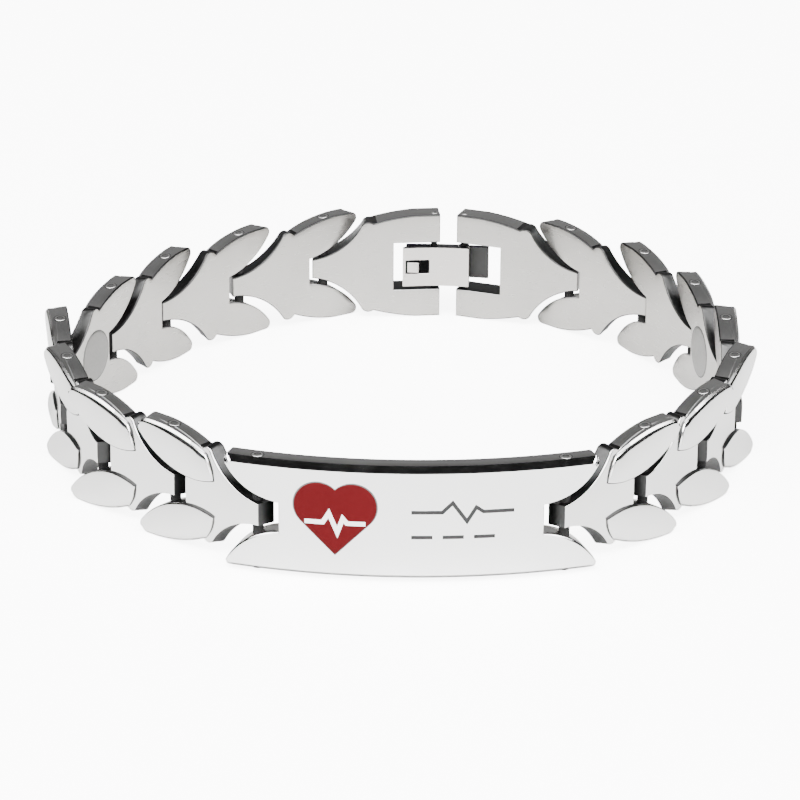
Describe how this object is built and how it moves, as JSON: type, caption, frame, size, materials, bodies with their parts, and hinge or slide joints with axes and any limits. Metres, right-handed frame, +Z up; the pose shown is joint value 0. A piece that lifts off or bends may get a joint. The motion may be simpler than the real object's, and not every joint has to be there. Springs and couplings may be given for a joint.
{
  "type": "medical alert bracelet",
  "caption": "Polished steel medical alert bracelet: curved name plate with a red heart emblem, swallow-tail links with raised leaves, and a folding clasp. Stands on its edge.",
  "frame": {"origin": "middle of the loop on the surface it stands on", "axes": "+Z up across the band's height; the plate faces -Y and the clasp +Y; +X is to the right as the plate is read"},
  "size_m": [0.0694, 0.0722, 0.0114],
  "materials": {
    "plate_steel": "polished",
    "link_steel": "polished leaves on satin bodies",
    "pin_steel": "satin",
    "clasp_steel": "polished",
    "insert_disc": "satin",
    "red_enamel": "glossy enamel",
    "white_enamel": "glossy enamel"
  },
  "bodies": {
    "bracelet": {"id_plate": "plate_steel", "emblem_enamel": "red_enamel", "emblem_trace": "white_enamel", "link_left_1": "link_steel", "link_left_2": "link_steel", "link_left_3": "link_steel", "link_left_4": "link_steel", "link_left_5": "link_steel", "link_left_6": "link_steel", "link_left_7": "link_steel", "link_left_8": "link_steel", "link_right_1": "link_steel", "link_right_2": "link_steel", "link_right_3": "link_steel", "link_right_4": "link_steel", "link_right_5": "link_steel", "link_right_6": "link_steel", "link_right_7": "link_steel", "end_link_left": "link_steel", "end_link_right": "link_steel", "pin_left_1": "pin_steel", "pin_left_2": "pin_steel", "pin_left_3": "pin_steel", "pin_left_4": "pin_steel", "pin_left_5": "pin_steel", "pin_left_6": "pin_steel", "pin_left_7": "pin_steel", "pin_left_8": "pin_steel", "pin_left_9": "pin_steel", "pin_right_1": "pin_steel", "pin_right_2": "pin_steel", "pin_right_3": "pin_steel", "pin_right_4": "pin_steel", "pin_right_5": "pin_steel", "pin_right_6": "pin_steel", "pin_right_7": "pin_steel", "pin_right_8": "pin_steel", "insert_left": "insert_disc", "insert_right": "insert_disc", "mouth_pin_left": "pin_steel", "mouth_pin_right": "pin_steel", "clasp_cover": "clasp_steel"},
    "clasp_lever": {"clasp_lever": "clasp_steel"}
  },
  "joints": [
    {"name": "lever_hinge", "type": "hinge", "parent": "bracelet", "child": "clasp_lever", "pos_m": [0.00702, 0.0341, 0.0057], "axis": [0, 0, 1], "range_deg": [0, 80]}
  ]
}
